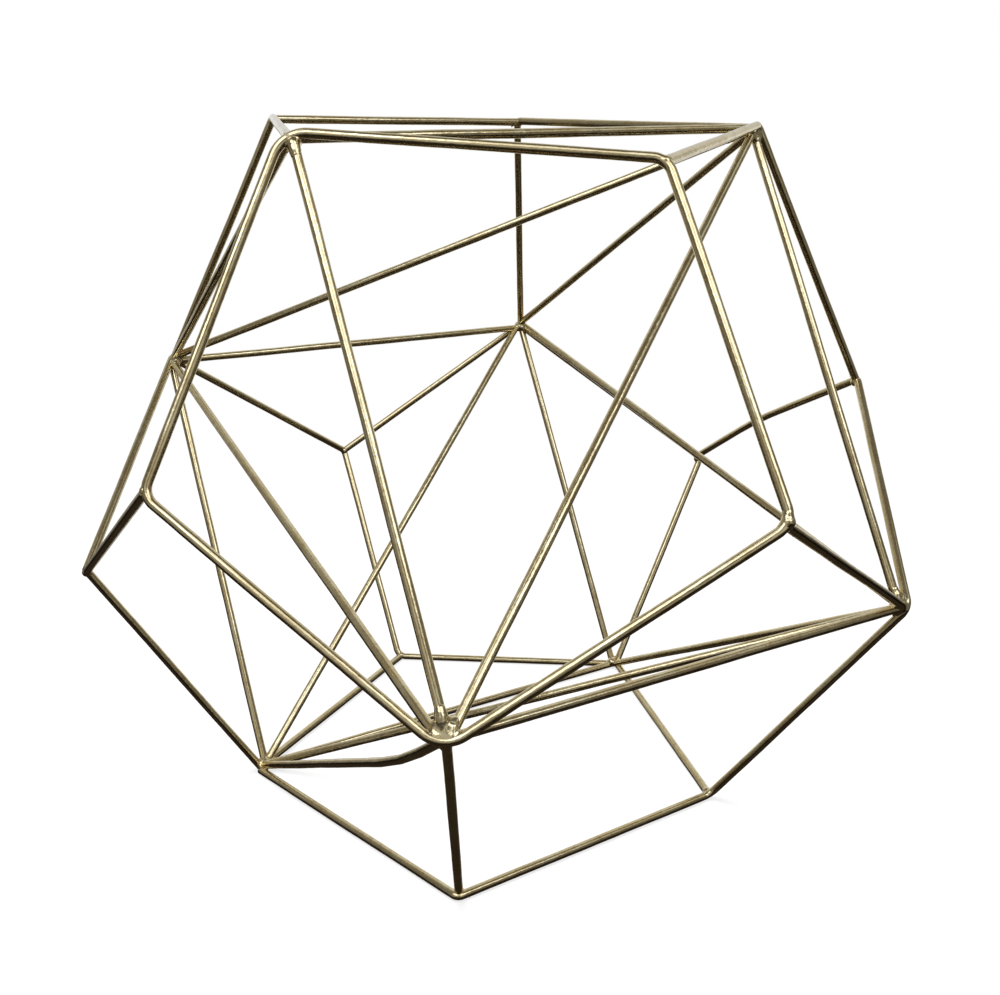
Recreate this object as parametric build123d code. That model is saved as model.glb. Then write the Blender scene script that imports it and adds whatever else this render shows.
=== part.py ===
from build123d import *
from math import cos, radians, sin, sqrt, tan
import os

# Wire ornament in the himmeli manner: a frame of twelve five-sided windows, bent and welded from
# round wire, with a cube inside it that is braced along one diagonal of each face.
# Lengths are millimetres. +Z is up, -Y is the front, and the five foot corners rest on Z = 0.

# Driving sizes
edge = 90.0
wire_d = 2.5
ring_bend_r = 8.0
ring_tight_bend_r = 5.0
easy_bend_r = 4.0
tight_bend_r = 2.0
bow_bend_r = 150.0
hub_weld_d = 6.4
corner_weld_d = 4.0
hub_weld_inset = 1.5
corner_weld_inset = 0.5
weld_lift = 0.5

# Sizes that follow from the driving sizes
wire_r = wire_d / 2
golden = (1 + sqrt(5)) / 2
ring_step = 72
small_ring_r = edge / (2 * sin(radians(ring_step / 2)))
large_ring_r = golden * small_ring_r
mitre_reach = 3 * wire_d

# Corners, counted round each level from the front. A level is a regular five-sided ring.
foot_names = ("foot_front", "foot_right", "foot_back_right", "foot_back_left", "foot_left")
lower_names = ("lower_front", "lower_right", "lower_back_right", "lower_back_left", "lower_left")
upper_names = ("upper_front_right", "upper_right", "upper_back", "upper_left", "upper_front_left")
roof_names = ("roof_front_right", "roof_right", "roof_back", "roof_left", "roof_front_left")

# How far the hand-made corners stand off the regular ones: right, back and up, as shares of an edge
lean_shares = {
    "roof_left": (0.005, 0.0, 0.02),
    "roof_front_left": (0.01, 0.0, -0.005),
    "roof_back": (0.0, 0.0, 0.02),
    "roof_right": (0.01, 0.0, 0.015),
    "roof_front_right": (-0.02, 0.0, -0.05),
    "upper_front_left": (0.015, 0.0, 0.0),
    "upper_front_right": (-0.005, 0.0, 0.0),
    "upper_left": (0.01, 0.0, 0.0),
    "upper_back": (-0.005, -0.01, -0.01),
    "upper_right": (-0.015, 0.0, -0.005),
    "lower_left": (-0.015, -0.01, -0.01),
    "lower_back_left": (0.015, -0.01, -0.035),
    "lower_back_right": (0.01, 0.0, -0.01),
    "lower_right": (0.01, 0.0, 0.005),
    "lower_front": (0.0, 0.01, 0.015),
    "foot_left": (-0.02, 0.01, 0.0),
    "foot_back_left": (0.03, -0.02, 0.0),
    "foot_back_right": (-0.02, 0.02, 0.0),
    "foot_right": (0.0, 0.025, 0.0),
    "foot_front": (-0.02, -0.025, 0.0),
}

# Wires of the outer frame, each one length of wire bent at the corners between its ends.
# The front ring closes on itself.
ring_route = ("roof_front_left", "roof_front_right", "upper_front_right", "lower_front", "upper_front_left")
frame_routes = {
    "left_roof_wire": ("roof_front_left", "roof_left", "upper_left"),
    "back_roof_wire": ("roof_right", "roof_back", "upper_back"),
    "right_roof_wire": ("roof_front_right", "roof_right", "upper_right"),
    "left_side_wire": ("upper_front_left", "lower_left", "foot_left"),
    "back_left_wire": ("upper_left", "lower_back_left", "foot_back_left", "foot_back_right"),
    "back_right_wire": ("upper_back", "lower_back_right", "foot_back_right"),
    "right_foot_wire": (
        "lower_back_right",
        "upper_right",
        "lower_right",
        "foot_right",
        "foot_front",
        "foot_left",
    ),
    "back_left_roof_link": ("roof_left", "roof_back"),
    "left_back_link": ("upper_left", "lower_left"),
    "back_left_link": ("upper_back", "lower_back_left"),
    "front_right_link": ("upper_front_right", "lower_right"),
    "front_leg": ("lower_front", "foot_front"),
    "left_foot_link": ("foot_left", "foot_back_left"),
    "right_foot_link": ("foot_back_right", "foot_right"),
}

# Inner wires, straight from weld to weld. The cube's corners are eight of the frame's corners.
cube_struts = {
    "cube_strut_top_front": ("roof_front_left", "roof_right"),
    "cube_strut_top_left": ("roof_front_left", "upper_left"),
    "cube_strut_top_back": ("upper_left", "upper_back"),
    "cube_strut_top_right": ("roof_right", "upper_back"),
    "cube_strut_front_left": ("roof_front_left", "lower_front"),
    "cube_strut_front_right": ("roof_right", "lower_right"),
    "cube_strut_back_left": ("upper_left", "foot_left"),
    "cube_strut_back_right": ("upper_back", "foot_back_right"),
    "cube_strut_bottom_front": ("lower_right", "lower_front"),
    "cube_strut_bottom_left": ("lower_front", "foot_left"),
    "cube_strut_bottom_back": ("foot_left", "foot_back_right"),
    "cube_strut_bottom_right": ("foot_back_right", "lower_right"),
}
front_braces = {
    "front_brace_top": ("roof_right", "upper_left"),
    "front_brace_right": ("roof_right", "lower_front"),
    "front_brace_left": ("upper_left", "lower_front"),
}
back_braces = {
    "back_brace_left": ("upper_back", "foot_left"),
    "back_brace_right": ("upper_back", "lower_right"),
    "back_brace_bottom": ("foot_left", "lower_right"),
}

# Runs that bow: how far along the run its set stands, and how far it stands off the straight
# line to the right, back and up, as shares of an edge
bow_shares = {
    ("lower_front", "foot_left"): (0.17, (0.0, 0.0, -0.049)),
    ("lower_back_right", "upper_right"): (0.4, (0.0, 0.0, 0.045)),
}

hub_names = (
    "roof_front_left",
    "roof_right",
    "upper_left",
    "upper_back",
    "lower_right",
    "lower_front",
    "foot_left",
    "foot_back_right",
)


def ring_of_corners(names, radius, first_angle, height):
    """The five corners of a level round the Z axis, each moved by its hand-made lean."""
    places = {}
    for count, name in enumerate(names):
        angle = radians(first_angle + ring_step * count)
        right, back, up = (share * edge for share in lean_shares.get(name, (0, 0, 0)))
        places[name] = Vector(radius * cos(angle) + right, radius * sin(angle) + back, height + up)
    return places


def make_corners():
    """The twenty corners, with the middle of their footprint on the Z axis."""
    corners = {}
    front = -90
    half_step_on = front + ring_step / 2
    corners.update(ring_of_corners(foot_names, small_ring_r, front, wire_r))
    corners.update(ring_of_corners(lower_names, large_ring_r, front, wire_r + small_ring_r))
    corners.update(ring_of_corners(upper_names, large_ring_r, half_step_on, wire_r + large_ring_r))
    corners.update(ring_of_corners(roof_names, small_ring_r, half_step_on, wire_r + small_ring_r + large_ring_r))
    xs = [place.X for place in corners.values()]
    ys = [place.Y for place in corners.values()]
    middle = Vector((min(xs) + max(xs)) / 2, (min(ys) + max(ys)) / 2, 0)
    return {name: place - middle for name, place in corners.items()}


def bend_radius(route, name):
    if route == ring_route:
        if name in ("roof_front_right", "upper_front_right"):
            return ring_tight_bend_r
        return ring_bend_r
    if name in ("foot_back_left", "lower_back_right", "foot_right", "lower_right"):
        return easy_bend_r
    return tight_bend_r


def outer_point(before, corner, after, radius):
    """Where two runs would meet if the bend that passes through their corner were sharp."""
    u = (before - corner).normalized()
    v = (after - corner).normalized()
    half_turn = radians(180 - u.get_angle(v)) / 2
    return corner - (u + v).normalized() * (radius / cos(half_turn) - radius)


def points_of_route(route):
    """The points where the runs of a wire meet, with the radius of the bend and the corner at each."""
    points = []
    radii = []
    names = []
    for spot, name in enumerate(route):
        following = route[(spot + 1) % len(route)]
        at_end = route != ring_route and spot in (0, len(route) - 1)
        names.append(name)
        if at_end:
            points.append(corners[name])
            radii.append(0)
        else:
            radius = bend_radius(route, name)
            point = outer_point(corners[route[spot - 1]], corners[name], corners[following], radius)
            if name in foot_names:
                point = Vector(point.X, point.Y, corners[name].Z)
            points.append(point)
            radii.append(radius)
        if (name, following) in bow_shares:
            along_share, off_shares = bow_shares[(name, following)]
            straight = corners[following] - corners[name]
            points.append(corners[name] + straight * along_share + Vector(*off_shares) * edge)
            radii.append(bow_bend_r)
            names.append("bow")
    return points, radii, names


def rod(start, stop):
    """A straight run of wire."""
    return Solid.make_cylinder(wire_r, (stop - start).length, Plane(origin=start, z_dir=stop - start))


def joined(solids):
    """One solid from runs and bends that meet face to face."""
    first, *rest = solids
    if rest:
        return first.fuse(*rest).clean()
    return first


def largest(result):
    """The largest solid of a cut, which may leave one or several."""
    pieces = result if isinstance(result, list) else [result]
    return max(ShapeList(pieces).solids(), key=lambda solid: solid.volume)


class Bend:
    """The arc that joins two straight runs of one wire."""

    def __init__(self, before, point, after, radius):
        u = (before - point).normalized()
        v = (after - point).normalized()
        self.turn = 180 - u.get_angle(v)
        half_turn = radians(self.turn) / 2
        self.into = u * -1
        self.start = point + u * (radius * tan(half_turn))
        self.stop = point + v * (radius * tan(half_turn))
        self.along = (v - u).normalized()
        self.axis = Axis(point + (u + v).normalized() * (radius / cos(half_turn)), v.cross(u))

    def solid(self):
        profile = Plane(origin=self.start, z_dir=self.into) * Circle(wire_r)
        return Solid.revolve(profile.face(), self.turn, self.axis)


class Wire:
    """One length of wire: straight runs joined by bends, from end to end or closed on itself."""

    def __init__(self, name, route):
        self.name = name
        self.route = route
        self.closed = route == ring_route
        self.points, radii, names = points_of_route(route)
        spots = range(len(self.points)) if self.closed else range(1, len(self.points) - 1)
        self.names = [names[spot] for spot in spots]
        self.bends = []
        for spot in spots:
            before = self.points[spot - 1]
            after = self.points[(spot + 1) % len(self.points)]
            self.bends.append(Bend(before, self.points[spot], after, radii[spot]))

    def ends(self):
        """The corner at each end, and the direction in which the wire leaves it."""
        if self.closed:
            return []
        leaving = (self.points[1] - self.points[0]).normalized()
        arriving = (self.points[-2] - self.points[-1]).normalized()
        return [(self.route[0], leaving), (self.route[-1], arriving)]

    def passes(self):
        """The corners that the wire bends round, each with its bend."""
        return [(name, self.bends[spot]) for spot, name in enumerate(self.names) if name in self.route]

    def body(self, short_by):
        """The wire, with its ends short of their corners by the given length."""
        if self.closed:
            starts = [bend.stop for bend in self.bends]
            stops = [bend.start for bend in self.bends[1:] + self.bends[:1]]
        else:
            (_, leaving), (_, arriving) = self.ends()
            starts = [self.points[0] + leaving * short_by] + [bend.stop for bend in self.bends]
            stops = [bend.start for bend in self.bends] + [self.points[-1] + arriving * short_by]
        runs = [rod(start, stop) for start, stop in zip(starts, stops)]
        return joined(runs + [bend.solid() for bend in self.bends])


def weld_ball(name):
    """The rounded lump of a weld, before the wire that bends through it is taken out."""
    if name in hub_names:
        radius = hub_weld_d / 2
        inset = hub_weld_inset
    else:
        radius = corner_weld_d / 2
        inset = corner_weld_inset
    outward = (corners[name] - middle).normalized()
    centre = corners[name] - outward * inset
    if name in foot_names:
        centre = Vector(centre.X, centre.Y, radius + weld_lift)
    if name in through_bends:
        to_wire = corners[name] - centre
        poles = to_wire.cross(through_bends[name].along)
        return Solid.make_sphere(radius, Plane(origin=centre, x_dir=to_wire * -1, z_dir=poles))
    return Solid.make_sphere(radius, Plane(origin=centre, z_dir=outward))


def welded_end(name, leaving, others):
    """The last stretch of a wire, trimmed to the wires and the weld that it meets at its corner."""
    corner = corners[name]
    through = through_wires.get(name)
    end = largest(rod(corner, corner + leaving * mitre_reach).cut(balls[name]))
    for other in others:
        end = largest(end.split(Plane(origin=corner, z_dir=leaving - other), keep=Keep.TOP))
    if through:
        end = largest(end.cut(through))
    return end


def finished_wire(wire):
    """A wire with both of its ends trimmed to their welds."""
    if wire.closed:
        return wire.body(0)
    pieces = [wire.body(mitre_reach)]
    for name, leaving in wire.ends():
        others = [other for maker, other in ends_at[name] if maker != wire.name]
        pieces.append(welded_end(name, leaving, others))
    return joined(pieces)


def weld_bead(name):
    """A weld, hollowed by the wire that bends through it."""
    if name in through_wires:
        return largest(balls[name].cut(through_wires[name]))
    return balls[name]


corners = make_corners()
middle = Vector(0, 0, wire_r + (small_ring_r + large_ring_r) / 2)
routes = {"front_ring": ring_route, **frame_routes, **cube_struts, **front_braces, **back_braces}
wires = [Wire(name, route) for name, route in routes.items()]
through_wires = {}
through_bends = {}
ends_at = {name: [] for name in corners}
for wire in wires:
    whole = wire.body(0)
    for name, bend in wire.passes():
        through_wires[name] = whole
        through_bends[name] = bend
    for name, leaving in wire.ends():
        ends_at[name].append((wire.name, leaving))
balls = {name: weld_ball(name) for name in corners}

if __name__ == "__main__":
    os.makedirs("parts", exist_ok=True)
    for wire in wires:
        export_step(finished_wire(wire), f"parts/{wire.name}.step")
    for name in corners:
        export_step(weld_bead(name), f"parts/weld_{name}.step")
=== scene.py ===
import random
from math import cos, pi, radians, sin, sqrt, tan

import bmesh
import bpy
from mathutils import Matrix, Vector, noise


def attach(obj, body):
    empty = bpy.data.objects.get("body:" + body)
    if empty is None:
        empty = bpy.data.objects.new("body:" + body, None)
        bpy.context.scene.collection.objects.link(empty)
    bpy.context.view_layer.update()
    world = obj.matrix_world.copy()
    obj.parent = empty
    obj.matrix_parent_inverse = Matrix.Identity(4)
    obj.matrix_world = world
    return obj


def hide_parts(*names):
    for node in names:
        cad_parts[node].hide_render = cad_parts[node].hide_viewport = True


# Himmeli-style ornament of bent and welded brass wire. Lengths are metres, +Z is up, and -Y is the
# front. The wires and welds are modelled again here with the unevenness of hand work, on the same
# corners and routes as the CAD, and each one stands for its own CAD node.

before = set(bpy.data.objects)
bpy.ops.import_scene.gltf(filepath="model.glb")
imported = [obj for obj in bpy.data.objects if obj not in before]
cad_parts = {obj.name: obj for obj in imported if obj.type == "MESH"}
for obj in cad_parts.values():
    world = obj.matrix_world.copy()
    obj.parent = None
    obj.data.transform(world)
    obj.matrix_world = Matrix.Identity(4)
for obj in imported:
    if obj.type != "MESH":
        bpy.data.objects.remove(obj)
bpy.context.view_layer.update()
MM = 0.001

# Sizes of the frame
EDGE = 90 * MM
WIRE_R = 1.25 * MM
RING_BEND_R = 8 * MM
RING_TIGHT_BEND_R = 5 * MM
EASY_BEND_R = 4 * MM
TIGHT_BEND_R = 2 * MM
BOW_BEND_R = 150 * MM

# Sizes of the modelling
WIRE_SIDES = 24
RING_STEP = 1.2 * MM
BEND_STEP = radians(6)
SHORTEST_RUN = 0.2 * MM
SEAM_GAP = 0.02 * MM
BEAD_GRAIN = 0.2 * MM
BALL_DETAIL = 3

# Unevenness of the wire: the span of each wave, and how far it moves the surface. Noise vectors
# would differ from run to run without a seed
WANDER_SEED = 1
WANDER_SPAN = 30 * MM
WANDER = 0.12 * MM
WANDER_FULL_HEIGHT = 12 * MM
SWELL_SPAN = 9 * MM
SWELL = 0.05 * MM
DENT_SPAN = 2.2 * MM
DENT = 0.02 * MM
noise.seed_set(WANDER_SEED)

# Turns in degrees, seen from above: between two corners of a level, and of a level's first corner
FIFTH_TURN = 72
CORNER_IN_FRONT = -90
EDGE_IN_FRONT = -54

# Corners of the frame, level by level
FOOT = ("foot_front", "foot_right", "foot_back_right", "foot_back_left", "foot_left")
LOWER = ("lower_front", "lower_right", "lower_back_right", "lower_back_left", "lower_left")
UPPER = ("upper_front_right", "upper_right", "upper_back", "upper_left", "upper_front_left")
ROOF = ("roof_front_right", "roof_right", "roof_back", "roof_left", "roof_front_left")
# How far each corner leans off the true form: right, back and up, as shares of an edge
LEANS = {
    "roof_left": (0.006, 0.0, 0.029),
    "roof_front_left": (0.01, 0.0, -0.005),
    "roof_back": (0.0, 0.0, 0.02),
    "roof_right": (0.01, 0.0, 0.015),
    "roof_front_right": (-0.02, 0.0, -0.05),
    "upper_front_left": (0.015, 0.0, 0.0),
    "upper_front_right": (-0.005, 0.0, 0.0),
    "upper_left": (0.01, 0.0, 0.0),
    "upper_back": (-0.005, -0.01, -0.01),
    "upper_right": (-0.015, 0.0, -0.005),
    "lower_left": (-0.015, -0.01, -0.01),
    "lower_back_left": (0.015, -0.01, -0.035),
    "lower_back_right": (0.01, 0.0, -0.01),
    "lower_right": (0.01, 0.0, 0.005),
    "lower_front": (0.0, 0.01, 0.015),
    "foot_left": (-0.02, 0.01, 0.0),
    "foot_back_left": (0.03, -0.02, 0.0),
    "foot_back_right": (-0.02, 0.02, 0.0),
    "foot_right": (0.0, 0.025, 0.0),
    "foot_front": (-0.02, -0.025, 0.0),
}

# The route of each wire, from corner to corner
RING = (
    "roof_front_left",
    "roof_front_right",
    "upper_front_right",
    "lower_front",
    "upper_front_left",
)
FRAME_WIRES = {
    "front_ring": RING,
    "left_roof_wire": ("roof_front_left", "roof_left", "upper_left"),
    "back_roof_wire": ("roof_right", "roof_back", "upper_back"),
    "right_roof_wire": ("roof_front_right", "roof_right", "upper_right"),
    "left_side_wire": ("upper_front_left", "lower_left", "foot_left"),
    "back_left_wire": ("upper_left", "lower_back_left", "foot_back_left", "foot_back_right"),
    "back_right_wire": ("upper_back", "lower_back_right", "foot_back_right"),
    "right_foot_wire": (
        "lower_back_right",
        "upper_right",
        "lower_right",
        "foot_right",
        "foot_front",
        "foot_left",
    ),
    "back_left_roof_link": ("roof_left", "roof_back"),
    "left_back_link": ("upper_left", "lower_left"),
    "back_left_link": ("upper_back", "lower_back_left"),
    "front_right_link": ("upper_front_right", "lower_right"),
    "front_leg": ("lower_front", "foot_front"),
    "left_foot_link": ("foot_left", "foot_back_left"),
    "right_foot_link": ("foot_back_right", "foot_right"),
}
CUBE_WIRES = {
    "cube_strut_top_front": ("roof_front_left", "roof_right"),
    "cube_strut_top_left": ("roof_front_left", "upper_left"),
    "cube_strut_top_back": ("upper_left", "upper_back"),
    "cube_strut_top_right": ("roof_right", "upper_back"),
    "cube_strut_front_left": ("roof_front_left", "lower_front"),
    "cube_strut_front_right": ("roof_right", "lower_right"),
    "cube_strut_back_left": ("upper_left", "foot_left"),
    "cube_strut_back_right": ("upper_back", "foot_back_right"),
    "cube_strut_bottom_front": ("lower_right", "lower_front"),
    "cube_strut_bottom_left": ("lower_front", "foot_left"),
    "cube_strut_bottom_back": ("foot_left", "foot_back_right"),
    "cube_strut_bottom_right": ("foot_back_right", "lower_right"),
}
BRACE_WIRES = {
    "front_brace_top": ("roof_right", "upper_left"),
    "front_brace_right": ("roof_right", "lower_front"),
    "front_brace_left": ("upper_left", "lower_front"),
    "back_brace_left": ("upper_back", "foot_left"),
    "back_brace_right": ("upper_back", "lower_right"),
    "back_brace_bottom": ("foot_left", "lower_right"),
}
ALL_WIRES = {**FRAME_WIRES, **CUBE_WIRES, **BRACE_WIRES}
# Runs that bow: how far along the run, and how far off the straight line as shares of an edge
BOWS = {
    ("lower_front", "foot_left"): (0.17, (0.0, 0.0, -0.049)),
    ("lower_back_right", "upper_right"): (0.4, (0.0, 0.0, 0.045)),
}

# Corners where the front ring bends more widely, and where other wires bend less tightly
RING_WIDE_BENDS = ("roof_front_left", "lower_front")
EASY_BENDS = ("foot_back_left", "lower_back_right", "foot_right", "lower_right")

# Where the end or the bend of a wire sits beside its corner: right, back and up, in mm
SEATS = {
    ("cube_strut_front_left", "roof_front_left"): (0.56, 0.15, 0.12),
    ("cube_strut_front_left", "lower_front"): (0.84, 0.23, 0.19),
    ("cube_strut_front_right", "roof_right"): (-0.71, 0.09, -0.3),
    ("cube_strut_front_right", "lower_right"): (-0.78, 0.1, -0.33),
    ("front_brace_right", "lower_front"): (0.81, -0.11, -0.35),
    ("front_brace_left", "upper_left"): (-0.59, -0.32, -0.38),
    ("front_brace_left", "lower_front"): (-0.65, -0.35, -0.42),
    ("front_brace_top", "upper_left"): (-0.22, 0.04, 0.54),
    ("cube_strut_top_back", "upper_left"): (0.08, -0.11, -0.63),
    ("cube_strut_top_back", "upper_back"): (0.09, -0.13, -0.73),
    ("cube_strut_top_right", "roof_right"): (0.2, 0.0, -0.22),
    ("cube_strut_top_right", "upper_back"): (-0.6, 0.09, 0.68),
    ("cube_strut_back_left", "upper_left"): (-0.81, -0.35, -0.11),
    ("cube_strut_back_left", "foot_left"): (0.46, 0.19, 0.06),
    ("cube_strut_bottom_right", "foot_back_right"): (0.13, -0.25, 0.0),
    ("back_brace_left", "upper_back"): (-1.0, 0.05, 0.6),
    ("back_brace_left", "foot_left"): (0.22, 0.0, 0.0),
    ("back_brace_right", "upper_back"): (0.5, 0.19, 0.7),
    ("left_back_link", "upper_left"): (-0.5, -0.14, 0.25),
    ("left_back_link", "lower_left"): (-0.45, -0.25, 0.44),
    ("back_left_link", "upper_back"): (-0.28, 0.05, 0.38),
    ("front_leg", "lower_front"): (0.49, 0.09, 0.04),
    ("front_right_link", "upper_front_right"): (-0.5, -0.15, -0.7),
    ("front_right_link", "lower_right"): (0.3, 0.1, 0.4),
    ("right_foot_link", "foot_back_right"): (1.2, 0.4, 0.3),
    ("left_foot_link", "foot_left"): (-0.22, 0.09, 0.1),
    ("left_foot_link", "foot_back_left"): (0.37, -0.15, 0.0),
    ("front_ring", "roof_front_left"): (-0.6, -0.1, -0.1),
    ("front_ring", "roof_front_right"): (-0.2, 0.0, -0.1),
    ("front_ring", "upper_front_right"): (-0.3, 0.0, 0.0),
    ("front_ring", "lower_front"): (-0.2, -0.25, -0.35),
    ("left_side_wire", "upper_front_left"): (-0.5, -0.07, 0.44),
    ("left_side_wire", "foot_left"): (-1.0, -0.9, 0.0),
    ("right_roof_wire", "roof_right"): (0.9, 0.0, 0.4),
    ("back_right_wire", "foot_back_right"): (1.2, -0.3, 0.0),
    ("right_foot_wire", "lower_back_right"): (-0.6, 0.3, 0.8),
    ("right_foot_wire", "upper_right"): (0.0, 0.1, 0.4),
    ("right_foot_wire", "lower_right"): (0.9, -0.2, 0.2),
    ("right_foot_wire", "foot_right"): (0.5, -1.4, 0.0),
    ("right_foot_wire", "foot_front"): (-0.2, -1.2, 0.0),
    ("right_foot_wire", "foot_left"): (-0.3, -3.0, 0.0),
}


def level_of_corners(names, radius, first_turn, height):
    """Five corners at one height, each with its lean."""
    places = {}
    for count, name in enumerate(names):
        turn = radians(first_turn + FIFTH_TURN * count)
        right, back, up = (share * EDGE for share in LEANS[name])
        across = radius * cos(turn) + right
        places[name] = Vector((across, radius * sin(turn) + back, height + up))
    return places


def frame_corners():
    """The twenty corners, their footprint's middle on the Z axis, and half of the form's height."""
    golden = (1 + sqrt(5)) / 2
    small = EDGE / (2 * sin(radians(FIFTH_TURN / 2)))
    large = golden * small
    places = {}
    places.update(level_of_corners(FOOT, small, CORNER_IN_FRONT, WIRE_R))
    places.update(level_of_corners(LOWER, large, CORNER_IN_FRONT, WIRE_R + small))
    places.update(level_of_corners(UPPER, large, EDGE_IN_FRONT, WIRE_R + large))
    places.update(level_of_corners(ROOF, small, EDGE_IN_FRONT, WIRE_R + small + large))
    xs = [place.x for place in places.values()]
    ys = [place.y for place in places.values()]
    off = Vector(((min(xs) + max(xs)) / 2, (min(ys) + max(ys)) / 2, 0))
    return {name: place - off for name, place in places.items()}, WIRE_R + (small + large) / 2


corners, middle_height = frame_corners()
middle = Vector((0, 0, middle_height))


def bend_radius(route, name):
    """The radius of a wire's bend at a corner, along its centre line."""
    if route == RING:
        return RING_BEND_R if name in RING_WIDE_BENDS else RING_TIGHT_BEND_R
    if name in EASY_BENDS:
        return EASY_BEND_R
    return TIGHT_BEND_R


def sharp_point(before, corner, after, radius):
    """Where two runs would meet if the bend that passes through their corner were sharp."""
    u = (before - corner).normalized()
    v = (after - corner).normalized()
    half_turn = (pi - u.angle(v)) / 2
    return corner - (u + v).normalized() * (radius / cos(half_turn) - radius)


def points_of_route(wire, route):
    """The points where the runs of a wire meet, and the radius of the bend at each."""
    points = []
    radii = []
    for spot, name in enumerate(route):
        following = route[(spot + 1) % len(route)]
        seat = Vector(SEATS.get((wire, name), (0, 0, 0))) * MM
        if route != RING and spot in (0, len(route) - 1):
            points.append(corners[name] + seat)
            radii.append(0)
        else:
            radius = bend_radius(route, name)
            leading = corners[route[spot - 1]]
            point = sharp_point(leading, corners[name], corners[following], radius)
            if name in FOOT:
                point.z = corners[name].z
            points.append(point + seat)
            radii.append(radius)
        if (name, following) in BOWS:
            along, off = BOWS[(name, following)]
            point = corners[name].lerp(corners[following], along) + Vector(off) * EDGE
            points.append(point)
            radii.append(BOW_BEND_R)
    return points, radii


def bend_at(before, point, after, radius):
    """The arc between two runs: where it starts and stops, its centre, axis and turn."""
    u = (before - point).normalized()
    v = (after - point).normalized()
    turn = pi - u.angle(v)
    reach = radius * tan(turn / 2)
    centre = point + (u + v).normalized() * (radius / cos(turn / 2))
    return point + u * reach, point + v * reach, centre, v.cross(u).normalized(), turn


# Making wires


def move_all(bm, move_of):
    """Moves each vertex by what the function says of it, worked out before any has moved."""
    moves = {vert: move_of(vert) for vert in bm.verts}
    for vert, move in moves.items():
        vert.co += move


def hand_wander(place):
    """How far a place strays from true. It is the same for every piece there, so joints hold."""
    calm_near_table = min(1, max(0, place.z - WIRE_R) / WANDER_FULL_HEIGHT)
    stray = noise.noise_vector(place / WANDER_SPAN) * WANDER
    stray.z *= calm_near_table
    return stray


def next_ring(bm, ring, move):
    """A moved copy of the wire's last ring of vertices, joined to it by faces."""
    made = [bm.verts.new(move @ vert.co) for vert in ring]
    for count in range(WIRE_SIDES):
        bm.faces.new((ring[count - 1], ring[count], made[count], made[count - 1]))
    return made


def draw_run(bm, ring, run):
    """Pulls the wire along a straight run, ring by ring."""
    if run.length < SHORTEST_RUN:
        return ring
    steps = int(run.length / RING_STEP) + 1
    for _ in range(steps):
        ring = next_ring(bm, ring, Matrix.Translation(run / steps))
    return ring


def turn_bend(bm, ring, centre, axis, turn):
    """Takes the wire round a bend, ring by ring."""
    steps = max(2, int(turn / BEND_STEP))
    there = Matrix.Translation(centre)
    move = there @ Matrix.Rotation(turn / steps, 4, axis) @ there.inverted()
    for _ in range(steps):
        ring = next_ring(bm, ring, move)
    return ring


def mark_grain(bm, points, closed):
    """Gives the surface the wire's own coordinates: how far along it, and where across it."""
    layer = bm.verts.layers.float_vector.new("grain")
    stops = points + points[:1] if closed else points
    runs = []
    passed = 0
    side = (stops[1] - stops[0]).orthogonal()
    for start, stop in zip(stops, stops[1:]):
        along = (stop - start).normalized()
        side = (side - along * side.dot(along)).normalized()
        length = (stop - start).length
        runs.append((start, along, side, along.cross(side), length, passed))
        passed += length
    for vert in bm.verts:
        best = None
        for start, along, side, across, length, before in runs:
            off = vert.co - start
            reach = min(max(off.dot(along), 0), length)
            gap = (off - along * reach).length
            if best is None or gap < best[0]:
                best = (gap, Vector((before + off.dot(along), off.dot(side), off.dot(across))))
        vert[layer] = best[1]


def roughen_wire(bm, seed):
    """Slight swellings and dents along the drawn wire."""
    bm.normal_update()
    shift = Vector((seed, 0, 0))

    def unevenness(vert):
        swell = noise.noise(vert.co / SWELL_SPAN + shift) * SWELL
        dent = noise.noise(vert.co / DENT_SPAN + shift) * DENT
        return vert.normal * (swell + dent) + hand_wander(vert.co)

    move_all(bm, unevenness)
    for vert in bm.verts:
        vert.co.z = max(vert.co.z, 0)


def open_edges(bm):
    """The edges round the holes of a mesh."""
    return [edge for edge in bm.edges if edge.is_boundary]


def piece_from(bm, name):
    """Turns a mesh in the making into a smooth object of the scene."""
    for face in bm.faces:
        face.smooth = True
    mesh = bpy.data.meshes.new(name)
    bm.to_mesh(mesh)
    bm.free()
    piece = bpy.data.objects.new(name, mesh)
    bpy.context.scene.collection.objects.link(piece)
    return piece


def wire_piece(wire, route, seed):
    """One length of wire, closed at its ends or on itself."""
    points, radii = points_of_route(wire, route)
    closed = route == RING
    count = len(points)
    spots = range(count) if closed else range(1, count - 1)
    bends = [bend_at(points[s - 1], points[s], points[(s + 1) % count], radii[s]) for s in spots]
    bm = bmesh.new()
    start = bends[-1][1] if closed else points[0]
    first_stop = bends[0][0] if bends else points[-1]
    heading = first_stop - start
    place = Matrix.Translation(start) @ heading.to_track_quat("Z", "Y").to_matrix().to_4x4()
    bmesh.ops.create_circle(bm, cap_ends=False, radius=WIRE_R, segments=WIRE_SIDES, matrix=place)
    first_ring = ring = list(bm.verts)
    for begin, stop, centre, axis, turn in bends:
        ring = draw_run(bm, ring, begin - start)
        ring = turn_bend(bm, ring, centre, axis, turn)
        start = stop
    if closed:
        bmesh.ops.remove_doubles(bm, verts=list(bm.verts), dist=SEAM_GAP)
        gaps = open_edges(bm)
        if gaps:
            bmesh.ops.bridge_loops(bm, edges=gaps)
    else:
        ring = draw_run(bm, ring, points[-1] - start)
        bm.faces.new(first_ring)
        bm.faces.new(ring)
    bmesh.ops.recalc_face_normals(bm, faces=list(bm.faces))
    mark_grain(bm, points, closed)
    roughen_wire(bm, seed)
    return piece_from(bm, "brass_" + wire)


# Making weld beads


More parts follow.
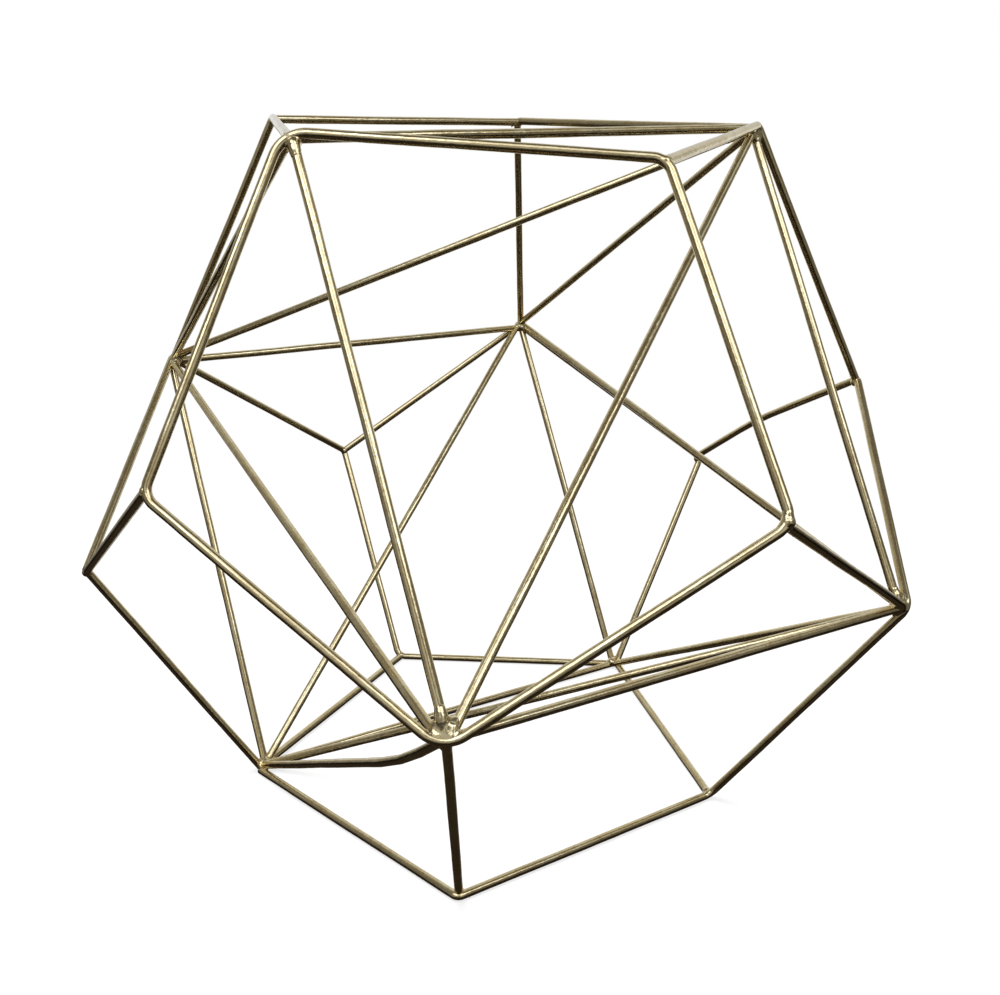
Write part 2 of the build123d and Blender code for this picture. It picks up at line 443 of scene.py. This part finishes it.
# For each corner: the lump's radius, how far it sits inside the corner, how far the filler metal
# runs out along the wires, how thick it lies on them, and how lumpy it is, in mm
PLAIN_BEAD = (1.45, 0.4, 3.4, 0.08, 0.08)
BEADS = {
    "roof_front_left": (1.9, 1.7, 5.0, 0.12, 0.14),
    "roof_right": (2.3, 1.5, 6.0, 0.15, 0.14),
    "upper_left": (2.0, 1.2, 5.5, 0.14, 0.14),
    "upper_back": (1.9, 1.0, 5.0, 0.12, 0.12),
    "lower_right": (2.4, 1.2, 6.0, 0.18, 0.16),
    "lower_front": (1.95, 0.9, 6.0, 0.15, 0.12),
    "foot_left": (2.0, 1.0, 5.5, 0.12, 0.14),
    "foot_back_right": (1.9, 1.0, 5.0, 0.12, 0.12),
    "roof_front_right": (1.35, 0.0, 4.5, 0.16, 0.2),
    "upper_front_right": (1.6, 0.0, 6.0, 0.24, 0.22),
    "upper_front_left": (1.15, 0.0, 3.0, 0.04, 0.04),
    "lower_left": (1.45, -0.5, 3.2, 0.06, 0.05),
    "upper_right": (1.6, 0.4, 3.6, 0.12, 0.1),
}
# Extra metal, in mm: from a corner towards another one, how far along, how wide of it, the radius
LUMPS = {
    "lower_front": (
        ("roof_front_left", 2.7, (0.3, 0.1, 0.0), 1.25),
        ("roof_front_left", 3.6, (0.5, 0.0, 0.0), 1.45),
        ("roof_front_left", 4.5, (0.65, -0.1, 0.0), 1.6),
        ("roof_front_left", 5.4, (0.8, -0.2, 0.0), 1.6),
        ("roof_front_left", 6.3, (0.85, -0.2, 0.0), 1.5),
        ("roof_front_left", 7.2, (0.9, -0.15, 0.0), 1.35),
        ("roof_right", 3.2, (0.4, 0.0, 0.0), 1.55),
        ("roof_right", 4.6, (0.4, 0.0, 0.1), 1.4),
        ("foot_front", 1.6, (0.35, 0.0, 0.0), 1.6),
        ("foot_front", 2.8, (0.4, 0.0, 0.0), 1.45),
        ("foot_front", 4.0, (0.45, 0.0, 0.0), 1.3),
    ),
    "roof_front_left": (
        ("lower_front", 1.6, (0.45, 0.0, 0.0), 1.6),
        ("lower_front", 2.5, (0.5, 0.0, 0.0), 1.55),
        ("lower_front", 3.4, (0.5, 0.0, 0.0), 1.5),
        ("lower_front", 4.3, (0.5, 0.0, 0.0), 1.35),
        ("roof_right", 2.4, (0.0, -0.2, 0.8), 0.8),
    ),
    "roof_right": (
        ("upper_left", 8.2, (0.0, -0.1, 0.1), 1.45),
        ("upper_left", 6.8, (0.0, 0.0, 0.0), 1.4),
        ("lower_front", 3.6, (0.0, 0.0, 0.0), 1.5),
        ("lower_right", 3.6, (-0.5, 0.0, -0.2), 1.45),
        ("upper_back", 4.6, (0.0, 0.0, 0.0), 1.4),
    ),
    "upper_front_left": (
        ("lower_left", 0.9, (-0.3, 0.0, 0.3), 1.4),
        ("roof_front_left", 0.8, (-1.0, 0.0, 0.0), 1.2),
        ("roof_front_left", 1.7, (-0.9, 0.0, 0.0), 1.05),
        ("roof_front_left", 2.6, (-0.75, 0.0, 0.0), 0.85),
    ),
    "lower_right": (
        ("roof_right", 3.6, (-0.6, 0.0, 0.0), 1.5),
        ("roof_right", 5.2, (-0.75, 0.0, 0.0), 1.3),
        ("upper_right", 3.8, (0.0, 0.0, 0.0), 1.4),
    ),
    "foot_left": (
        ("foot_front", 0.6, (-0.2, -1.4, 0.0), 1.4),
        ("foot_front", 1.4, (0.0, -2.4, 0.0), 1.35),
        ("lower_left", 1.2, (-0.8, -0.4, 0.0), 1.4),
        ("lower_right", 3.4, (0.0, 0.0, 0.2), 1.3),
    ),
    "upper_left": (
        ("lower_front", 4.4, (-0.4, -0.2, -0.2), 1.4),
        ("upper_back", 4.2, (0.0, 0.0, -0.4), 1.35),
        ("roof_left", 3.4, (0.2, 0.0, 0.0), 1.4),
    ),
    "upper_back": (
        ("lower_right", 4.0, (0.3, 0.0, 0.4), 1.35),
        ("roof_back", 3.0, (0.2, 0.0, 0.0), 1.4),
    ),
}
# Corners where the ring passes smoothly by: the filler metal stays below its surface, by so much
BARE_RING = ("lower_front", "roof_front_left")
BARE_SKIN = -0.15 * MM

# Filler metal is made thicker by MELT, joined into one lump, smoothed, and sunk by as much again
MELT = 0.55 * MM
SMOOTHINGS_BEFORE_SINKING = 5
SMOOTHINGS_AFTER_SINKING = 3
# Along a wire its skin gets thinner from the corner on, and its end sinks into the wire
SKIN_FADE = 1.2
END_SINK = 0.42 * MM
END_FADE = 1.5
# Where it ends: how uneven that line is, as a share of the reach, and how fine its waves are
END_UNEVEN = 0.35
END_WAVES = 2.5
# Lumps and grit on it: their spans, the grit's share of the height, the reach in lump radii
LUMP_SPAN = 1.7 * MM
GRIT_SPAN = 0.7 * MM
GRIT_SHARE = 0.15
LUMPY_REACH = 2.4
# Each bead takes its unevenness from another place in the noise, up to so far away
NOISE_RANGE = 50
# Gaps to the table, of the lump inside a foot bead and of the bead's surface
LUMP_TABLE_GAP = 0.2 * MM
BEAD_TABLE_GAP = 0.04 * MM

# The web of metal inside the ring's lowest bend: rows of balls along the bend, steps in mm
WEB_CORNER = "lower_front"
WEB_BALL_R = 1.2 * MM
WEB_ROWS = 5
WEB_COLUMNS = range(-3, 4)
WEB_START = 0.75
WEB_ROW_STEP = 0.6
WEB_COLUMN_STEP = 0.7
# A row curves in by the square of its width over this many mm, and leans back by a share
WEB_CURVE = 16
WEB_LEAN = 0.16
# A step of 1 mm up the plane of the ring goes so far back and so far up
PLANE_BACK = 0.447
PLANE_UP = 0.894


def web_places():
    """Places for the balls of the web, which leans back a little."""
    seat = Vector(SEATS[("front_ring", WEB_CORNER)])
    places = []
    for row in range(WEB_ROWS):
        for column in WEB_COLUMNS:
            right = WEB_COLUMN_STEP * column
            inward = WEB_START + WEB_ROW_STEP * row + right * right / WEB_CURVE
            behind = WEB_LEAN * (inward - WEB_START)
            back = PLANE_BACK * inward + PLANE_UP * behind
            up = PLANE_UP * inward - PLANE_BACK * behind
            places.append(corners[WEB_CORNER] + (seat + Vector((right, back, up))) * MM)
    return places


def add_ball(bm, radius, place):
    """A ball of filler metal."""
    bmesh.ops.create_icosphere(
        bm, subdivisions=BALL_DETAIL, radius=radius, matrix=Matrix.Translation(place)
    )


def melted_together(bm):
    """One skin round everything in the mesh, in small even faces."""
    rough = piece_from(bm, "rough_weld")
    remesh = rough.modifiers.new("melt", "REMESH")
    remesh.mode = "VOXEL"
    remesh.voxel_size = BEAD_GRAIN
    bpy.context.view_layer.update()
    graph = bpy.context.evaluated_depsgraph_get()
    melted = bpy.data.meshes.new_from_object(rough.evaluated_get(graph))
    bpy.data.objects.remove(rough)
    bm = bmesh.new()
    bm.from_mesh(melted)
    bpy.data.meshes.remove(melted)
    return bm


def drop_crumbs(bm):
    """Only the largest of the separate lumps stays."""
    left = set(bm.verts)
    lumps = []
    while left:
        fresh = [left.pop()]
        lump = set(fresh)
        while fresh:
            vert = fresh.pop()
            for edge in vert.link_edges:
                other = edge.other_vert(vert)
                if other in left:
                    left.remove(other)
                    lump.add(other)
                    fresh.append(other)
        lumps.append(lump)
    largest = max(lumps, key=len)
    crumbs = [vert for vert in bm.verts if vert not in largest]
    bmesh.ops.delete(bm, geom=crumbs, context="VERTS")


def smooth_all(bm, times):
    """Moves every vertex halfway to the middle of its neighbours, again and again."""
    axes = {"use_axis_x": True, "use_axis_y": True, "use_axis_z": True}
    for _ in range(times):
        bmesh.ops.smooth_vert(bm, verts=list(bm.verts), factor=0.5, **axes)


def weld_piece(corner, wires):
    """A weld: a lump of filler metal that wets the wires and runs out along them."""
    radius, inset, reach, thick, lumpy = (size * MM for size in BEADS.get(corner, PLAIN_BEAD))
    chance = random.Random(corner)
    shift = Vector((chance.uniform(0, NOISE_RANGE), chance.uniform(0, NOISE_RANGE), 0))
    centre = corners[corner]
    bm = bmesh.new()
    bare = set()
    for name, route in ALL_WIRES.items():
        if corner in route:
            before = len(bm.verts)
            bm.from_mesh(wires[name].data)
            bm.verts.ensure_lookup_table()
            if route == RING and corner in BARE_RING:
                bare.update(bm.verts[before:])

    def share_out(place):
        """0 at the corner, 1 where the filler metal ends."""
        off = place - centre
        uneven = 1 + END_UNEVEN * noise.noise(off.normalized() * END_WAVES + shift)
        return off.length / (reach * uneven)

    def metal_on_wire(vert):
        out = min(1, share_out(vert.co))
        skin = BARE_SKIN if vert in bare else thick
        return vert.normal * (MELT + skin * (1 - out) ** SKIN_FADE - END_SINK * out**END_FADE)

    past_end = [vert for vert in bm.verts if share_out(vert.co) > 1]
    bmesh.ops.delete(bm, geom=past_end, context="VERTS")
    bmesh.ops.holes_fill(bm, edges=open_edges(bm), sides=0)
    bm.normal_update()
    move_all(bm, metal_on_wire)
    core = centre - (centre - middle).normalized() * inset
    if corner in FOOT:
        core.z = max(core.z, radius + LUMP_TABLE_GAP)
    add_ball(bm, radius + MELT, core)
    for towards, along, wide, lump_r in LUMPS.get(corner, ()):
        way = (corners[towards] - centre).normalized()
        spot = centre + way * (along * MM) + Vector(wide) * MM
        add_ball(bm, lump_r * MM + MELT, spot)
    if corner == WEB_CORNER:
        for spot in web_places():
            add_ball(bm, WEB_BALL_R + MELT, spot)
    bm = melted_together(bm)
    drop_crumbs(bm)
    smooth_all(bm, SMOOTHINGS_BEFORE_SINKING)
    bm.normal_update()
    move_all(bm, lambda vert: vert.normal * -MELT)
    smooth_all(bm, SMOOTHINGS_AFTER_SINKING)
    bm.normal_update()

    def lumps_and_grit(vert):
        close = max(0.0, 1 - (vert.co - core).length / (radius * LUMPY_REACH))
        lump = noise.noise(vert.co / LUMP_SPAN + shift) * lumpy
        grit = noise.noise(vert.co / GRIT_SPAN + shift) * lumpy * GRIT_SHARE
        return vert.normal * ((lump + grit) * close)

    move_all(bm, lumps_and_grit)
    for vert in bm.verts:
        vert.co.z = max(vert.co.z, BEAD_TABLE_GAP)
    return piece_from(bm, "bead_" + corner)


# Brass

# The colour sockets of a mix node
MIX_FACTOR, MIX_FIRST, MIX_SECOND, MIX_RESULT = 0, 6, 7, 2

# How fine the clouds of each kind are: scale, detail and roughness of the noise
TONE_CLOUD = (90, 2, 0.5)
TARNISH_CLOUD = (380, 5, 0.6)
MARK_CLOUD = (2400, 3, 0.6)
SHINE_CLOUD = (520, 4, 0.6)
DENT_CLOUD = (1000, 2, 0.5)
# Marks and dents are drawn out along a wire: there the noise runs so much slower
GRAIN_STRETCH = (0.4, 1, 1)

# What the clouds turn into
METAL_TONES = [(0.36, (0.78, 0.64, 0.35)), (0.5, (0.84, 0.705, 0.405)), (0.64, (0.9, 0.785, 0.48))]
TARNISH_COLOUR = (0.46, 0.335, 0.17)
TARNISH_COVER = [(0.34, 0.4), (0.46, 0.0)]
MARK_COLOUR = (0.36, 0.26, 0.13)
MARK_COVER = [(0.34, 0.45), (0.43, 0.0)]
MARK_DEPTH = 0.013 * MM
ROUGHNESS = [(0.3, 0.07), (0.7, 0.17)]


def cloud(tree, where, scale, detail, roughness):
    """Noise between 0 and 1, mostly near the middle."""
    made = tree.nodes.new("ShaderNodeTexNoise")
    made.inputs["Scale"].default_value = scale
    made.inputs["Detail"].default_value = detail
    made.inputs["Roughness"].default_value = roughness
    tree.links.new(where, made.inputs["Vector"])
    return made.outputs["Fac"]


def ramp(tree, source, stops):
    """Colours or greys at places from 0 to 1."""
    made = tree.nodes.new("ShaderNodeValToRGB")
    bar = made.color_ramp
    colours = []
    for at, value in stops:
        colour = value if isinstance(value, tuple) else (value, value, value)
        colours.append((at, (*colour, 1)))
    bar.elements[0].position, bar.elements[0].color = colours[0]
    bar.elements[1].position, bar.elements[1].color = colours[-1]
    for at, colour in colours[1:-1]:
        bar.elements.new(at).color = colour
    tree.links.new(source, made.inputs["Fac"])
    return made.outputs["Color"]


def cover(tree, factor, under, colour):
    """What lies under where the factor is 0, the plain colour where it is 1."""
    made = tree.nodes.new("ShaderNodeMix")
    made.data_type = "RGBA"
    tree.links.new(factor, made.inputs[MIX_FACTOR])
    tree.links.new(under, made.inputs[MIX_FIRST])
    made.inputs[MIX_SECOND].default_value = (*colour, 1)
    return made.outputs[MIX_RESULT]


def bump(tree, height, depth, under=None):
    """Unevenness too fine for the mesh, if asked on top of coarser unevenness."""
    made = tree.nodes.new("ShaderNodeBump")
    made.inputs["Strength"].default_value = 1.0
    made.inputs["Distance"].default_value = depth
    tree.links.new(height, made.inputs["Height"])
    if under is not None:
        tree.links.new(under, made.inputs["Normal"])
    return made.outputs["Normal"]


def satin_brass(name, dent_depth, along_wire):
    """Drawn or melted brass with a soft shine, brown tarnish in patches and fine dark marks."""
    material = bpy.data.materials.new(name)
    material.use_nodes = True
    tree = material.node_tree
    shader = tree.nodes["Principled BSDF"]
    shader.inputs["Metallic"].default_value = 1.0
    place = tree.nodes.new("ShaderNodeTexCoord").outputs["Object"]
    metal = ramp(tree, cloud(tree, place, *TONE_CLOUD), METAL_TONES)
    tarnish = ramp(tree, cloud(tree, place, *TARNISH_CLOUD), TARNISH_COVER)
    metal = cover(tree, tarnish, metal, TARNISH_COLOUR)
    if along_wire:
        grain = tree.nodes.new("ShaderNodeAttribute")
        grain.attribute_name = "grain"
        stretch = tree.nodes.new("ShaderNodeMapping")
        stretch.inputs["Scale"].default_value = GRAIN_STRETCH
        tree.links.new(grain.outputs["Vector"], stretch.inputs["Vector"])
        skin = stretch.outputs["Vector"]
    else:
        skin = place
    marks = cloud(tree, skin, *MARK_CLOUD)
    metal = cover(tree, ramp(tree, marks, MARK_COVER), metal, MARK_COLOUR)
    tree.links.new(metal, shader.inputs["Base Color"])
    shine = ramp(tree, cloud(tree, place, *SHINE_CLOUD), ROUGHNESS)
    tree.links.new(shine, shader.inputs["Roughness"])
    dents = bump(tree, cloud(tree, skin, *DENT_CLOUD), dent_depth)
    fine = bump(tree, marks, MARK_DEPTH, dents)
    tree.links.new(fine, shader.inputs["Normal"])
    return material


frame_brass = satin_brass("frame_brass", dent_depth=0.045 * MM, along_wire=True)
cube_brass = satin_brass("cube_brass", dent_depth=0.055 * MM, along_wire=True)
brace_brass = satin_brass("brace_brass", dent_depth=0.08 * MM, along_wire=True)
bead_brass = satin_brass("bead_brass", dent_depth=0.05 * MM, along_wire=False)


def place_piece(piece, node, material):
    """Gives a piece its brass, hangs it from the root, and hides the CAD node it stands for."""
    piece.data.materials.append(material)
    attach(piece, "root")
    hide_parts(node)


wires = {}
for seed, (name, route) in enumerate(ALL_WIRES.items()):
    wires[name] = wire_piece(name, route, seed)
welds = {name: weld_piece(name, wires) for name in corners}
for name in FRAME_WIRES:
    place_piece(wires[name], name, frame_brass)
for name in CUBE_WIRES:
    place_piece(wires[name], name, cube_brass)
for name in BRACE_WIRES:
    place_piece(wires[name], name, brace_brass)
for name, weld in welds.items():
    place_piece(weld, "weld_" + name, bead_brass)
bpy.context.view_layer.update()


# Studio

PLAIN_LIGHT = (0.62, 0.62, 0.62, 1)
PLAIN_WHITE = (1, 1, 1, 1)
PALE_PAPER = (0.93, 0.93, 0.93, 1)
FLOOR_R = 4
FLOOR_SIDES = 96
# Distances between which the floor turns white, and the shares of white at both
FADE_START, FADE_END = 0.12, 0.4
NEAR_WHITE, FAR_WHITE = 0.75, 1.0


def empty_tree(thing):
    """The nodes of a world or material, with nothing in them yet."""
    thing.use_nodes = True
    thing.node_tree.nodes.clear()
    return thing.node_tree


def maths(tree, operation, first, second):
    """Arithmetic with sockets or plain numbers."""
    made = tree.nodes.new("ShaderNodeMath")
    made.operation = operation
    for socket, value in zip(made.inputs, (first, second)):
        if isinstance(value, (int, float)):
            socket.default_value = value
        else:
            tree.links.new(value, socket)
    return made.outputs[0]


def seen_directly(tree):
    """1 for the rays that look at the background: from the camera, a mirror or glass."""
    path = tree.nodes.new("ShaderNodeLightPath")
    mirror = path.outputs["Is Glossy Ray"]
    mirror_or_glass = maths(tree, "MAXIMUM", mirror, path.outputs["Is Transmission Ray"])
    return maths(tree, "MAXIMUM", path.outputs["Is Camera Ray"], mirror_or_glass)


world = bpy.data.worlds.new("studio_air")
bpy.context.scene.world = world
air_tree = empty_tree(world)
plain_light = air_tree.nodes.new("ShaderNodeBackground")
plain_light.inputs["Color"].default_value = PLAIN_LIGHT
white_back = air_tree.nodes.new("ShaderNodeBackground")
white_back.inputs["Color"].default_value = PLAIN_WHITE
choose = air_tree.nodes.new("ShaderNodeMixShader")
air_out = air_tree.nodes.new("ShaderNodeOutputWorld")
air_tree.links.new(seen_directly(air_tree), choose.inputs[0])
air_tree.links.new(plain_light.outputs[0], choose.inputs[1])
air_tree.links.new(white_back.outputs[0], choose.inputs[2])
air_tree.links.new(choose.outputs[0], air_out.inputs["Surface"])

# Floor: pale paper, plain white further out
floor_bm = bmesh.new()
bmesh.ops.create_circle(floor_bm, cap_ends=True, radius=FLOOR_R, segments=FLOOR_SIDES)
floor = piece_from(floor_bm, "floor")
floor_paint = bpy.data.materials.new("pale_floor")
floor_tree = empty_tree(floor_paint)
paper = floor_tree.nodes.new("ShaderNodeBsdfDiffuse")
paper.inputs["Color"].default_value = PALE_PAPER
glow = floor_tree.nodes.new("ShaderNodeEmission")
glow.inputs["Color"].default_value = PLAIN_WHITE
where = floor_tree.nodes.new("ShaderNodeTexCoord").outputs["Object"]
distance = floor_tree.nodes.new("ShaderNodeVectorMath")
distance.operation = "LENGTH"
floor_tree.links.new(where, distance.inputs[0])
fade = floor_tree.nodes.new("ShaderNodeMapRange")
fade.inputs["From Min"].default_value = FADE_START
fade.inputs["From Max"].default_value = FADE_END
fade.inputs["To Min"].default_value = NEAR_WHITE
fade.inputs["To Max"].default_value = FAR_WHITE
floor_tree.links.new(distance.outputs["Value"], fade.inputs["Value"])
floor_mix = floor_tree.nodes.new("ShaderNodeMixShader")
floor_out = floor_tree.nodes.new("ShaderNodeOutputMaterial")
whiteness = maths(floor_tree, "MULTIPLY", fade.outputs["Result"], seen_directly(floor_tree))
floor_tree.links.new(whiteness, floor_mix.inputs[0])
floor_tree.links.new(paper.outputs[0], floor_mix.inputs[1])
floor_tree.links.new(glow.outputs[0], floor_mix.inputs[2])
floor_tree.links.new(floor_mix.outputs[0], floor_out.inputs["Surface"])
floor.data.materials.append(floor_paint)
floor.visible_glossy = False

# Light tent, seen only in the metal: a pale wall behind the ornament, bright windows high up behind
# the viewer with a dimmer wall below them, dim sides, and a dark table
TENT_R = 1.5
TENT_ROUND, TENT_HIGH = 64, 32
DEGREES = 180 / pi
tent_bm = bmesh.new()
bmesh.ops.create_uvsphere(tent_bm, u_segments=TENT_ROUND, v_segments=TENT_HIGH, radius=TENT_R)
tent = piece_from(tent_bm, "light_tent")
tent_cloth = bpy.data.materials.new("tent_cloth")
tent_tree = empty_tree(tent_cloth)
where = tent_tree.nodes.new("ShaderNodeTexCoord").outputs["Object"]
unit = tent_tree.nodes.new("ShaderNodeVectorMath")
unit.operation = "NORMALIZE"
tent_tree.links.new(where, unit.inputs[0])
parts = tent_tree.nodes.new("ShaderNodeSeparateXYZ")
tent_tree.links.new(unit.outputs[0], parts.inputs[0])
height = maths(tent_tree, "MULTIPLY", maths(tent_tree, "ARCSINE", parts.outputs["Z"], 0), DEGREES)
from_back = maths(tent_tree, "ARCTAN2", parts.outputs["X"], parts.outputs["Y"])
forward = maths(tent_tree, "MULTIPLY", parts.outputs["Y"], -1)
from_front = maths(tent_tree, "ARCTAN2", parts.outputs["X"], forward)
TURNS = {
    "back": maths(tent_tree, "MULTIPLY", from_back, DEGREES),
    "front": maths(tent_tree, "MULTIPLY", from_front, DEGREES),
}


def soft_step(value, edge, soft, rising):
    """A soft rise from 0 to 1 round an edge, or a fall from 1 to 0."""
    made = tent_tree.nodes.new("ShaderNodeMapRange")
    made.interpolation_type = "SMOOTHSTEP"
    made.inputs["From Min"].default_value = edge - soft
    made.inputs["From Max"].default_value = edge + soft
    made.inputs["To Min"].default_value = 0 if rising else 1
    made.inputs["To Max"].default_value = 1 if rising else 0
    tent_tree.links.new(value, made.inputs["Value"])
    return made.outputs["Result"]


def panel(side, first, last, low, high, soft, level):
    """A panel of light between two turns to the right of the back or the front, and two heights."""
    turn = TURNS[side]
    after_first = soft_step(turn, first, soft, True)
    wide = maths(tent_tree, "MULTIPLY", after_first, soft_step(turn, last, soft, False))
    above_low = soft_step(height, low, soft, True)
    tall = maths(tent_tree, "MULTIPLY", above_low, soft_step(height, high, soft, False))
    return maths(tent_tree, "MULTIPLY", maths(tent_tree, "MULTIPLY", wide, tall), level)


# Side, turns and heights in degrees, softness of the edges, level of light
PANELS = (
    ("back", -36, 38, -38, 14, 4, 0.45),
    ("back", -40, 38, 14, 68, 5, 0.25),
    ("back", -66, 50, -16, 58, 8, 0.24),
    ("back", 72, 108, 34, 56, 6, 0.35),
    ("back", -100, -60, 2, 60, 8, 0.1),
    ("front", 28, 72, 36, 64, 4, 1.7),
    ("front", 18, 56, 5, 36, 7, 0.32),
    ("front", -16, 28, 42, 72, 4, 1.0),
    ("front", -52, -10, 37, 64, 4, 1.85),
    ("front", -30, 4, 10, 37, 7, 0.32),
    ("front", -82, -52, 52, 76, 5, 1.15),
    ("front", -65, -25, -15, 18, 8, 0.1),
)
# The room between the panels, and the table: edge and softness in degrees, level or colour
ROOM_EDGE, ROOM_SOFT, ROOM_LEVEL = -8, 14, 0.14
TABLE_EDGE, TABLE_SOFT, TABLE_COLOUR = -28, 8, (0.028, 0.0215, 0.017)
# The dim parts of the room are a little warm and the windows a little cool: tints at shares of the
# brightest light
BRIGHTEST = 2
TINTS = [(0.0, (1.06, 1.0, 0.94)), (0.2, (1.0, 1.0, 1.0)), (0.9, (0.94, 1.0, 1.16))]

room = soft_step(height, ROOM_EDGE, ROOM_SOFT, True)
light = maths(tent_tree, "MULTIPLY", room, ROOM_LEVEL)
for size in PANELS:
    light = maths(tent_tree, "ADD", light, panel(*size))
table = tent_tree.nodes.new("ShaderNodeVectorMath")
table.operation = "SCALE"
table.inputs[0].default_value = TABLE_COLOUR
tent_tree.links.new(soft_step(height, TABLE_EDGE, TABLE_SOFT, False), table.inputs["Scale"])
tint = ramp(tent_tree, maths(tent_tree, "MULTIPLY", light, 1 / BRIGHTEST), TINTS)
tinted = tent_tree.nodes.new("ShaderNodeVectorMath")
tinted.operation = "MULTIPLY"
tent_tree.links.new(tint, tinted.inputs[0])
tent_tree.links.new(light, tinted.inputs[1])
paint = tent_tree.nodes.new("ShaderNodeVectorMath")
paint.operation = "ADD"
tent_tree.links.new(table.outputs[0], paint.inputs[0])
tent_tree.links.new(tinted.outputs[0], paint.inputs[1])
cloth = tent_tree.nodes.new("ShaderNodeEmission")
tent_tree.links.new(paint.outputs[0], cloth.inputs["Color"])
cloth_out = tent_tree.nodes.new("ShaderNodeOutputMaterial")
tent_tree.links.new(cloth.outputs[0], cloth_out.inputs["Surface"])
tent.data.materials.append(tent_cloth)
tent.visible_camera = False
tent.visible_diffuse = False
tent.visible_transmission = False
tent.visible_volume_scatter = False
tent.visible_shadow = False

# Soft lamp above, for the floor's shadow
lamp = bpy.data.lights.new("soft_lamp", "AREA")
lamp.shape = "DISK"
lamp.size = 0.9
lamp.energy = 20
lamp_place = bpy.data.objects.new("soft_lamp", lamp)
lamp_place.location = (-0.25, 0.1, 1.2)
lamp_place.rotation_euler = (-lamp_place.location).to_track_quat("-Z", "Y").to_euler()
lamp_place.visible_glossy = False
bpy.context.scene.collection.objects.link(lamp_place)

# Camera at the photograph's place
camera_data = bpy.data.cameras.new("camera")
camera_data.sensor_width = 36
camera_data.lens = 39.169
camera_data.shift_x = 0.0236
camera_data.shift_y = 0.03505
camera_data.clip_start = 0.01
camera_data.clip_end = 20
camera = bpy.data.objects.new("camera", camera_data)
camera.location = (0.02751, -0.3266, 0.20848)
look = Vector((-0.093486, 0.926414, -0.364716))
roll = radians(0.493)
camera.rotation_mode = "QUATERNION"
rolled = Matrix.Rotation(roll, 3, "Z").to_quaternion()
camera.rotation_quaternion = look.to_track_quat("-Z", "Y") @ rolled
bpy.context.scene.collection.objects.link(camera)
bpy.context.scene.camera = camera
bpy.context.scene.view_settings.view_transform = "Standard"
